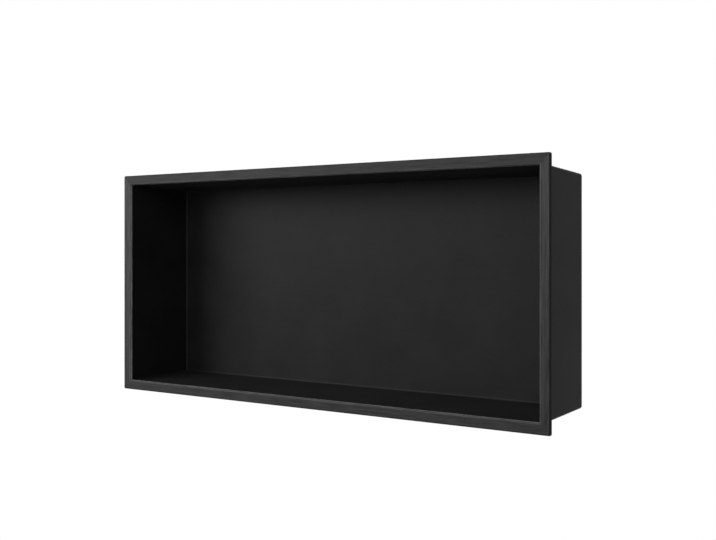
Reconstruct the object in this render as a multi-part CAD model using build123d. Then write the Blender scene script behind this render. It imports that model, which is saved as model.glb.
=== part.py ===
from build123d import *
import os
from math import cos, radians

# Shower niche insert: a box of sheet steel that is let into a wall, with a folded frame welded
# round its mouth. Millimetres. +X runs along the width, +Y into the wall and +Z up. The origin
# is the middle of the opening, in the plane of the wall face that the frame seats on.

# Frame, folded as a channel that is open towards the wall
frame_width = 682.0
frame_height = 300.0
frame_stand = 4.0            # how far the frame stands off the wall face, and how deep its returns are
frame_overhang = 10.6        # what the frame covers of the wall beyond the box, on each side
frame_bend_inside = 0.4      # bends along the frame's outer and inner edges
frame_corner_inside = 0.8    # rounding of the four outer corners, seen from the front

# Box, folded and welded from the same sheet
sheet = 1.2
overall_depth = 105.0        # from the front of the frame to the back of the box
draft_angle = 3.7            # each wall leans in by this angle towards the back
box_bend_inside = 2.0        # bends between the walls, and between the walls and the back

# Worked out from the sizes above
frame_front = -frame_stand
face_rear = frame_front + sheet
box_back = overall_depth - frame_stand
frame_bend_outside = frame_bend_inside + sheet
frame_corner_outside = frame_corner_inside + sheet
box_bend_outside = box_bend_inside + sheet
wall_inset = frame_overhang + sheet / cos(radians(draft_angle))
lap_inset = wall_inset + sheet
weld_depth = sheet / 2       # welded sheets run this far into each other


def plane_at(depth):
    """The plane across the niche at this depth, facing into the wall."""
    return Plane(origin=(0, depth, 0), x_dir=(1, 0, 0), z_dir=(0, 1, 0))


def straight_block(front, back, inset, corner=0.0):
    """A block between two depths, with the frame's outline drawn in by the inset on every side."""
    width = frame_width - 2 * inset
    height = frame_height - 2 * inset
    shape = RectangleRounded(width, height, corner) if corner else Rectangle(width, height)
    return extrude(plane_at(front) * shape, amount=back - front)


def leaning_block(front, back, inset, bend):
    """A block whose sides lean in towards the back. The inset holds in the plane of the wall face."""
    block = straight_block(front, back, inset)
    block = draft(block.faces().filter_by(Axis.Y, reverse=True), plane_at(0), draft_angle)
    mouth = block.faces().sort_by(Axis.Y)[0]
    return fillet(block.edges() - mouth.edges(), bend)


def rounded_front(block, radius):
    """The block with the edges of its front face rounded."""
    return fillet(block.faces().sort_by(Axis.Y)[0].edges(), radius)


# Box: four walls and a back of one thickness
box_front = face_rear - weld_depth
outside = leaning_block(box_front, box_back, frame_overhang, box_bend_outside)
inside = leaning_block(frame_front, box_back - sheet, wall_inset, box_bend_inside)
box = outside - inside

# Frame: its face and outer return, hollow behind
pressing = rounded_front(straight_block(frame_front, 0, 0, frame_corner_outside), frame_bend_outside)
hollow = rounded_front(straight_block(face_rear, 0, sheet, frame_corner_inside), frame_bend_inside)
frame = pressing - hollow

# Inner return of the frame, which laps the mouth of the box from inside and is welded to it
lap = straight_block(box_front, 0, frame_overhang + weld_depth, box_bend_outside - weld_depth)
opening = straight_block(frame_front, 0, lap_inset)

# One welded piece, with the bend that leads from the frame's face into the opening
niche_body = frame + box + lap - opening
opening_edges = niche_body.faces().sort_by(Axis.Y)[0].inner_wires()[0].edges()
niche_body = fillet(opening_edges, frame_bend_outside)

os.makedirs("parts", exist_ok=True)
export_step(niche_body, "parts/niche_body.step")
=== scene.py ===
from math import cos, pi, radians, sin

import bmesh
import bpy
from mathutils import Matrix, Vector


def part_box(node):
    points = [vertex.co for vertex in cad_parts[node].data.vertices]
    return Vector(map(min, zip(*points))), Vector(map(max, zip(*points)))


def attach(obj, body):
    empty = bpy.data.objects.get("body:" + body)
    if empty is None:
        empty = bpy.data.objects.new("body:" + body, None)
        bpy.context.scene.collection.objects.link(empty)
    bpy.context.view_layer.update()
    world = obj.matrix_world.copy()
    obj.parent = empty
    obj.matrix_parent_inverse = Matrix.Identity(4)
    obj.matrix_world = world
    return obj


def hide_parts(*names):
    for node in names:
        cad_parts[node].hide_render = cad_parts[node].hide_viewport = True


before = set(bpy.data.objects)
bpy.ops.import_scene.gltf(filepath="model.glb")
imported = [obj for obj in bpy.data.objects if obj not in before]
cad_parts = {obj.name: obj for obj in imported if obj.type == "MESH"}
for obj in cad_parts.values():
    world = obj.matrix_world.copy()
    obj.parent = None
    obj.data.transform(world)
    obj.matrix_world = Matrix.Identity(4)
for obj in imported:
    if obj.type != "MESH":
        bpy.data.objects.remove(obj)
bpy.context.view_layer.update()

# Shower niche insert of black sheet steel. Metres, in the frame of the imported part: +X along the width,
# +Y into the wall, +Z up, with the origin in the middle of the opening at the wall face.

# Sizes of the folded sheet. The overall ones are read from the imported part.
lowest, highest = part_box("niche_body")
width = highest.x - lowest.x
height = highest.z - lowest.z
frame_front = lowest.y
box_back = highest.y
sheet = 0.0012
overhang = 0.0106            # what the frame covers of the wall beyond the box, on each side
draft = radians(3.7)         # each wall leans in by this angle towards the back
frame_bend_inside = 0.0004
frame_corner_inside = 0.0008
box_bend_inside = 0.0020

# Worked out from the sizes above
frame_bend = frame_bend_inside + sheet
frame_corner = frame_corner_inside + sheet
box_bend = box_bend_inside + sheet
opening_inset = overhang + sheet / cos(draft) + sheet

# Fineness of the mesh
bend_steps = 8
corner_steps = 8
merge_distance = 0.00001
sharp_angle = radians(30)    # an edge that turns by less is part of a bend
flat_face_weight = 100       # the larger of two faces alone sets the shading where they meet

# Finish: a matte black coat, and the frame's face brushed lighter
coat_grey = 0.0135
coat_gloss = 0.05
coat_roughness = 0.5
face_grey = 0.029
face_metal = 0.67
face_roughness = 0.6

# Painted light and shade on the frame's sides: their tones at mid height, and what they gain from the
# bottom to the top
upright_painted_tone = 1.0
upright_painted_rise = 0.24
level_painted_tone = 0.85
level_painted_rise = -0.12

# Strips of another tone; the fold, lip and bend strips are painted highlights. A gain says how many times
# lighter a strip is.
edge_strip = 0.0011          # coated strip along the frame's outer edge
edge_blend = 0.00055
fold_highlight_strip = 0.0020          # painted highlight along the fold into the opening
fold_highlight_blend = 0.0008
fold_highlight_gain = 1.75
lip_highlight_gain = 15.0              # lip behind that fold, painted bright as a highlight
bend_highlight_gain = 1.8              # painted highlight along the bends round the back
bend_highlight_blend = 0.0005
bend_highlight_margin = 0.0001         # that painted highlight ends so far in front of the back

# Grain: hairs and strokes on the brushed face, clouds and drawn marks in the coat
hair_length = 0.030
hair_breadth = 0.0020
hair_share = 2.0
hair_roughness = 0.25
stroke_length = 0.160
stroke_breadth = 0.0050
stroke_share = 0.5
cloud_size = 0.055
cloud_share = 0.8
cloud_roughness = 0.1
drawn_length = 0.080
drawn_breadth = 0.002
drawn_depth = 0.006
drawn_share = 0.25
plain_detail = 2.0
fine_detail = 3.0
detail_share = 0.6           # strength of each finer layer of a grain beside the one before it
relief_strength = 0.25
relief_depth = 0.0002

# Floor, light and camera
white = (1, 1, 1, 1)
floor_level = -2.0
floor_radius = 3.0
floor_fade = 0.8             # from here to its rim the floor goes over into the white room
floor_segments = 96
floor_grey = 0.6
floor_roughness = 0.8
floor_glow = 0.75            # share of plain white in what the eye sees of the floor's middle
lamp_distance = 2.5
ambient = 0.02               # faint light from all round
eye_place = (0.9577, -1.1007, 0.04905)
eye_turn = radians(38.596)   # to the left of straight into the wall
eye_lens = 59.296            # millimetres, for a sensor as wide as the next value
eye_sensor = 36
eye_shift = -0.03129         # moves the picture up without tilting the camera


def added(name, data):
    """A new object in the scene, at the origin."""
    made = bpy.data.objects.new(name, data)
    bpy.context.scene.collection.objects.link(made)
    return made


# Helpers for node trees

class Value:
    """A number in a node tree. Reckoning with it adds Math nodes to the tree."""

    def __init__(self, tree, socket):
        self.tree = tree
        self.socket = socket

    def math(self, operation, *others):
        made = self.tree.nodes.new("ShaderNodeMath")
        made.operation = operation
        for entry, value in zip(made.inputs, (self, *others)):
            plug(self.tree, entry, value)
        return Value(self.tree, made.outputs[0])

    def __add__(self, other):
        return self.math("ADD", other)

    def __sub__(self, other):
        return self.math("SUBTRACT", other)

    def __mul__(self, other):
        return self.math("MULTIPLY", other)

    def __truediv__(self, other):
        return self.math("DIVIDE", other)

    def __neg__(self):
        return self.math("MULTIPLY", -1.0)


def plug(tree, entry, value):
    """Sets a node's input to a plain number or links it to a value or socket of the tree."""
    if isinstance(value, Value):
        tree.links.new(value.socket, entry)
    elif isinstance(value, bpy.types.NodeSocket):
        tree.links.new(value, entry)
    else:
        entry.default_value = value


def node(tree, kind, settings=None, **entries):
    """A new node with its settings and its inputs, whose names are written with _ for a space."""
    made = tree.nodes.new(kind)
    for name, value in (settings or {}).items():
        setattr(made, name, value)
    for name, value in entries.items():
        plug(tree, made.inputs[name.replace("_", " ")], value)
    return made


def point(tree, x, y, z=0.0):
    """A point with these coordinates."""
    return node(tree, "ShaderNodeCombineXYZ", X=x, Y=y, Z=z).outputs[0]


def coordinates(tree):
    """The coordinates of the point that a material is read at."""
    apart = node(tree, "ShaderNodeSeparateXYZ", Vector=node(tree, "ShaderNodeTexCoord").outputs["Object"])
    return [Value(tree, apart.outputs[axis]) for axis in "XYZ"]


def ramp(value, start, end):
    """0 before the start and 1 after the end, with a straight rise between them."""
    return ((value - start) / (end - start)).math("MAXIMUM", 0.0).math("MINIMUM", 1.0)


def mixed(first, second, share):
    """The first value where the share is 0 and the second where it is 1."""
    return first - (first - second) * share


def grain(tree, x, y, z, detail):
    """Noise about zero, from about -0.5 to 0.5, read at a point."""
    middle = 0.5
    noise = node(tree, "ShaderNodeTexNoise", Vector=point(tree, x, y, z), Scale=1.0, Detail=detail,
                 Roughness=detail_share)
    return Value(tree, noise.outputs[0]) - middle


def seen_share(tree):
    """1 for rays that see a thing, straight or in a reflection or through glass, and 0 for other light."""
    path = node(tree, "ShaderNodeLightPath")
    seen = Value(tree, path.outputs["Is Camera Ray"]).math("MAXIMUM", path.outputs["Is Glossy Ray"])
    return seen.math("MAXIMUM", path.outputs["Is Transmission Ray"])


# The body: one section through the sheet, led round a rounded rectangle

def niche_tree():
    """A tree that folds the niche from its sizes, as one closed wall of constant thickness."""
    tree = bpy.data.node_groups.new("folded_niche", "GeometryNodeTree")
    sizes = ("Width", "Height", "Frame Front", "Box Back", "Sheet", "Overhang", "Draft", "Frame Bend",
             "Frame Corner", "Box Bend")
    for name in sizes:
        tree.interface.new_socket(name, in_out="INPUT", socket_type="NodeSocketFloat")
    for name in ("Bend Steps", "Corner Steps"):
        tree.interface.new_socket(name, in_out="INPUT", socket_type="NodeSocketInt")
    tree.interface.new_socket("Finish", in_out="INPUT", socket_type="NodeSocketMaterial")
    tree.interface.new_socket("Geometry", in_out="OUTPUT", socket_type="NodeSocketGeometry")
    entry = tree.nodes.new("NodeGroupInput")
    size = {name: Value(tree, entry.outputs[name]) for name in sizes}
    half_width = size["Width"] * 0.5
    half_height = size["Height"] * 0.5
    front = size["Frame Front"]
    back = size["Box Back"]
    gauge = size["Sheet"]
    lean = size["Draft"].math("TANGENT")

    # Fold lines as (inset from the frame's edge, depth, bend radius, rounding seen from the front)
    face_rear = front + gauge
    wall_inset = size["Overhang"] + gauge / size["Draft"].math("COSINE")
    lap_inset = wall_inset + gauge
    inner_back = back - gauge
    inner_bend = size["Box Bend"] - gauge
    folds = (
        (half_height, back, 0.0, 0.0),
        (size["Overhang"] + back * lean, back, size["Box Bend"], size["Box Bend"]),
        (size["Overhang"] + face_rear * lean, face_rear, 0.0, size["Box Bend"]),
        (gauge, face_rear, size["Frame Bend"] - gauge, size["Frame Corner"] - gauge),
        (gauge, 0.0, 0.0, size["Frame Corner"] - gauge),
        (0.0, 0.0, 0.0, size["Frame Corner"]),
        (0.0, front, size["Frame Bend"], size["Frame Corner"]),
        (lap_inset, front, size["Frame Bend"], 0.0),
        (lap_inset, 0.0, 0.0, 0.0),
        (wall_inset, 0.0, 0.0, inner_bend),
        (wall_inset + inner_back * lean, inner_back, inner_bend, inner_bend),
        (half_height, inner_back, 0.0, 0.0),
    )
    insets, depths, bends, roundings = zip(*folds)
    index = node(tree, "GeometryNodeInputIndex").outputs[0]

    def at_fold(values):
        """The one of these values that belongs to the fold, by the fold's number."""
        switch = node(tree, "GeometryNodeIndexSwitch", {"data_type": "FLOAT"}, Index=index)
        while len(switch.index_switch_items) < len(values):
            switch.index_switch_items.new()
        for item, value in zip(list(switch.inputs)[1:], values):
            plug(tree, item, value)
        return Value(tree, switch.outputs[0])

    # Section through the sheet, from the middle of the back outside to the middle of the back inside
    line = node(tree, "GeometryNodeCurvePrimitiveLine")
    section = node(tree, "GeometryNodeResampleCurve", {"mode": "COUNT"}, Curve=line.outputs[0],
                   Count=len(folds))
    fold_inset = at_fold(insets)
    section = node(tree, "GeometryNodeSetPosition", Geometry=section.outputs[0],
                   Position=point(tree, fold_inset, at_fold(depths)))
    keep = node(tree, "GeometryNodeCaptureAttribute", Geometry=section.outputs[0])
    keep.capture_items.new("FLOAT", "fold_inset")
    keep.capture_items.new("FLOAT", "rounding")
    plug(tree, keep.inputs["fold_inset"], fold_inset)
    plug(tree, keep.inputs["rounding"], at_fold(roundings))
    section = node(tree, "GeometryNodeFilletCurve", {"mode": "POLY"}, Curve=keep.outputs[0],
                   Count=entry.outputs["Bend Steps"], Radius=at_fold(bends), Limit_Radius=True)
    position = node(tree, "GeometryNodeInputPosition")
    place = node(tree, "GeometryNodeCaptureAttribute", Geometry=section.outputs[0])
    place.capture_items.new("VECTOR", "place")
    plug(tree, place.inputs["place"], position.outputs[0])

    # Round the rectangle, with each corner turned in a few steps
    corners = 4.0
    turn_steps = Value(tree, entry.outputs["Corner Steps"])
    corner_points = turn_steps + 1.0
    around = node(tree, "GeometryNodeCurvePrimitiveCircle", Resolution=corner_points * corners)
    count = node(tree, "GeometryNodeCaptureAttribute", Geometry=around.outputs[0])
    count.capture_items.new("FLOAT", "count")
    plug(tree, count.inputs["count"], index)
    wall = node(tree, "GeometryNodeCurveToMesh", Curve=place.outputs[0], Profile_Curve=count.outputs[0])
    step = Value(tree, count.outputs["count"])
    corner = (step / corner_points).math("FLOOR")
    quarter_turn = pi / 2
    turn = (corner + (step - corner * corner_points) / turn_steps) * quarter_turn
    side = (corner + 0.5) * quarter_turn
    apart = node(tree, "ShaderNodeSeparateXYZ", Vector=place.outputs["place"])
    inset = Value(tree, apart.outputs["X"])
    rounding = Value(tree, keep.outputs["rounding"])
    radius = (rounding - (inset - Value(tree, keep.outputs["fold_inset"]))).math("MINIMUM", rounding)
    radius = radius.math("MAXIMUM", 0.0)
    reach_x = half_width - inset - radius
    reach_z = half_height - inset - radius
    x = side.math("COSINE").math("SIGN") * reach_x + turn.math("COSINE") * radius
    z = side.math("SINE").math("SIGN") * reach_z + turn.math("SINE") * radius
    wall = node(tree, "GeometryNodeSetPosition", Geometry=wall.outputs[0],
                Position=point(tree, x, apart.outputs["Y"], z))
    wall = node(tree, "GeometryNodeMergeByDistance", Geometry=wall.outputs[0], Distance=merge_distance)

    # Sharp where the sheet was cut or meets another at an angle, smooth along the bends
    angle = node(tree, "GeometryNodeInputMeshEdgeAngle").outputs[0]
    smooth = Value(tree, angle).math("LESS_THAN", sharp_angle)
    wall = node(tree, "GeometryNodeSetShadeSmooth", {"domain": "FACE"}, Geometry=wall.outputs[0],
                Shade_Smooth=True)
    wall = node(tree, "GeometryNodeSetShadeSmooth", {"domain": "EDGE"}, Geometry=wall.outputs[0],
                Shade_Smooth=smooth)
    wall = node(tree, "GeometryNodeRealizeInstances", Geometry=wall.outputs[0])
    wall = node(tree, "GeometryNodeSetMaterial", Geometry=wall.outputs[0], Material=entry.outputs["Finish"])
    leave = node(tree, "NodeGroupOutput")
    tree.links.new(wall.outputs[0], leave.inputs[0])
    return tree


def made_by_nodes(name, tree, entries):
    """An object with the plain mesh that the tree gives for these inputs."""
    start = added(name + "_start", bpy.data.meshes.new(name + "_start"))
    modifier = start.modifiers.new("build", "NODES")
    modifier.node_group = tree
    for item in tree.interface.items_tree:
        if item.in_out == "INPUT":
            modifier[item.identifier] = entries[item.name]
    evaluated = start.evaluated_get(bpy.context.evaluated_depsgraph_get())
    mesh = bpy.data.meshes.new_from_object(evaluated)
    mesh.name = name
    bpy.data.objects.remove(start)
    return added(name, mesh)


def black_steel():
    """Black sheet steel: a matte coat on the box, and a lighter frame that is brushed along each side, with
    painted highlights and painted light.
    """
    material = bpy.data.materials.new("black_steel")
    material.use_nodes = True
    tree = material.node_tree
    shader = tree.nodes["Principled BSDF"]
    shader.inputs["Specular IOR Level"].default_value = coat_gloss
    x, y, z = coordinates(tree)

    # Where a point lies: what stands in front of the wall face is frame, and its edge strip is coated
    from_side = -x.math("ABSOLUTE") + width / 2
    from_top = -z.math("ABSOLUTE") + height / 2
    inset = from_side.math("MINIMUM", from_top)
    on_frame = y.math("LESS_THAN", 0.0) * ramp(inset, edge_strip - edge_blend, edge_strip)
    # Where the painted highlights go: along the fold into the opening, and on the lip behind it
    fold_highlight_start = opening_inset - fold_highlight_strip
    on_fold_highlight = ramp(inset, fold_highlight_start, fold_highlight_start + fold_highlight_blend)
    on_lip_highlight = on_fold_highlight * ramp(y, frame_front + frame_bend / 2, frame_front + frame_bend)
    # Painted highlight along the bends round the back
    bend_start = box_back - box_bend
    bend_highlight_end = box_back - sheet - bend_highlight_margin
    on_bend_highlight = ramp(y, bend_start, bend_start + bend_highlight_blend) * ramp(y, bend_highlight_end, bend_highlight_end - bend_highlight_blend)
    on_side = from_side.math("LESS_THAN", from_top) * y.math("LESS_THAN", bend_start)

    # Grain, drawn out along the nearest side and straight across the back
    along = mixed(x, z, on_side)
    across = mixed(z, x, on_side)
    hairs = grain(tree, along / hair_length, across / hair_breadth, y / hair_breadth, fine_detail)
    strokes = grain(tree, along / stroke_length, across / stroke_breadth, y / stroke_breadth, plain_detail)
    clouds = grain(tree, x / cloud_size, y / cloud_size, z / cloud_size, fine_detail)
    drawn = grain(tree, along / drawn_length, across / drawn_breadth, y / drawn_depth, plain_detail)

    # Tone, metal, roughness and relief of the coat and of the brushed face, with painted highlights and
    # painted light in the tone
    coat = (clouds * cloud_share + drawn * drawn_share + 1.0) * coat_grey
    # Painted highlight along the bends round the back
    coat = coat * (on_bend_highlight * (bend_highlight_gain - 1.0) + 1.0)
    face = (hairs * hair_share + strokes * stroke_share + 1.0) * face_grey
    # Painted highlights along the fold and on the lip behind it
    face = face * mixed(on_fold_highlight * (fold_highlight_gain - 1.0) + 1.0, lip_highlight_gain, on_lip_highlight)
    # Painted light and shade: upright sides lighter towards the top, level sides darker towards it and
    # darker overall
    level_painted_light = z * (level_painted_rise / height) + level_painted_tone
    upright_painted_light = z * (upright_painted_rise / height) + upright_painted_tone
    face = face * mixed(level_painted_light, upright_painted_light, on_side)
    shade = mixed(coat, face, on_frame)
    colour = node(tree, "ShaderNodeCombineColor", Red=shade, Green=shade, Blue=shade)
    plug(tree, shader.inputs["Base Color"], colour.outputs[0])
    plug(tree, shader.inputs["Metallic"], on_frame * face_metal)
    coat_rough = clouds * cloud_roughness + coat_roughness
    face_rough = hairs * hair_roughness + face_roughness
    plug(tree, shader.inputs["Roughness"], mixed(coat_rough, face_rough, on_frame))
    bump = node(tree, "ShaderNodeBump", Strength=relief_strength, Distance=relief_depth,
                Height=hairs * on_frame)
    plug(tree, shader.inputs["Normal"], bump.outputs[0])
    return material


body = made_by_nodes("niche", niche_tree(), {
    "Width": width, "Height": height, "Frame Front": frame_front, "Box Back": box_back, "Sheet": sheet,
    "Overhang": overhang, "Draft": draft, "Frame Bend": frame_bend, "Frame Corner": frame_corner,
    "Box Bend": box_bend, "Bend Steps": bend_steps, "Corner Steps": corner_steps, "Finish": black_steel()})
weighted = body.modifiers.new("flat faces stay flat", "WEIGHTED_NORMAL")
weighted.keep_sharp = True
weighted.weight = flat_face_weight
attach(body, "root")
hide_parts("niche_body")


# Floor, well below the niche

def pale_floor():
    """Paint that is pale to the eye, white at the rim, and lit by the lamps so that it keeps the shadow."""
    material = bpy.data.materials.new("pale_floor")
    material.use_nodes = True
    tree = material.node_tree
    paint = tree.nodes["Principled BSDF"]
    paint.inputs["Base Color"].default_value = (floor_grey, floor_grey, floor_grey, 1)
    paint.inputs["Roughness"].default_value = floor_roughness
    glow = node(tree, "ShaderNodeEmission", Color=white, Strength=1.0)
    x, y = coordinates(tree)[:2]
    to_rim = ramp((x * x + y * y).math("SQRT"), floor_fade, floor_radius)
    white_share = to_rim * (1.0 - floor_glow) + floor_glow
    mix = node(tree, "ShaderNodeMixShader", Fac=seen_share(tree) * white_share)
    tree.links.new(paint.outputs[0], mix.inputs[1])
    tree.links.new(glow.outputs[0], mix.inputs[2])
    tree.links.new(mix.outputs[0], tree.nodes["Material Output"].inputs["Surface"])
    return material


floor_mesh = bpy.data.meshes.new("floor")
disc = bmesh.new()
bmesh.ops.create_circle(disc, cap_ends=True, segments=floor_segments, radius=floor_radius)
bmesh.ops.translate(disc, verts=disc.verts, vec=(0, 0, floor_level))
disc.to_mesh(floor_mesh)
disc.free()
floor_mesh.materials.append(pale_floor())
floor = added("floor", floor_mesh)


# Lamps, and a white room that lights the niche only faintly

def softbox(name, azimuth, elevation, power, breadth, rise):
    """A lamp that faces the niche. Azimuth 0 is straight in front, positive to the right."""
    lamp = bpy.data.lights.new(name, "AREA")
    lamp.shape = "RECTANGLE"
    lamp.size = breadth
    lamp.size_y = rise
    lamp.energy = power
    made = added(name, lamp)
    sideways = radians(azimuth)
    upwards = radians(elevation)
    direction = Vector((cos(upwards) * sin(sideways), -cos(upwards) * cos(sideways), sin(upwards)))
    made.location = lamp_distance * direction
    made.rotation_euler = (-made.location).to_track_quat("-Z", "Y").to_euler()
    made.visible_camera = False


softbox("key", azimuth=-43, elevation=14, power=54.0, breadth=1.7, rise=0.8)
softbox("front", azimuth=7, elevation=10, power=12.5, breadth=1.4, rise=1.2)
softbox("right", azimuth=32, elevation=25, power=10.5, breadth=1.4, rise=1.2)
softbox("rear", azimuth=207, elevation=15, power=38.0, breadth=1.2, rise=1.0)

world = bpy.data.worlds.new("studio")
bpy.context.scene.world = world
world.use_nodes = True
room = world.node_tree.nodes["Background"]
room.inputs["Color"].default_value = white
room_strength = seen_share(world.node_tree).math("MAXIMUM", ambient)
plug(world.node_tree, room.inputs["Strength"], room_strength)

# Camera at the photograph's viewing angle, held level
camera = bpy.data.cameras.new("camera")
camera.lens = eye_lens
camera.sensor_width = eye_sensor
camera.shift_y = eye_shift
eye = added("camera", camera)
eye.location = eye_place
eye.rotation_euler = (radians(90), 0, eye_turn)
bpy.context.scene.camera = eye
bpy.context.scene.view_settings.view_transform = "Standard"
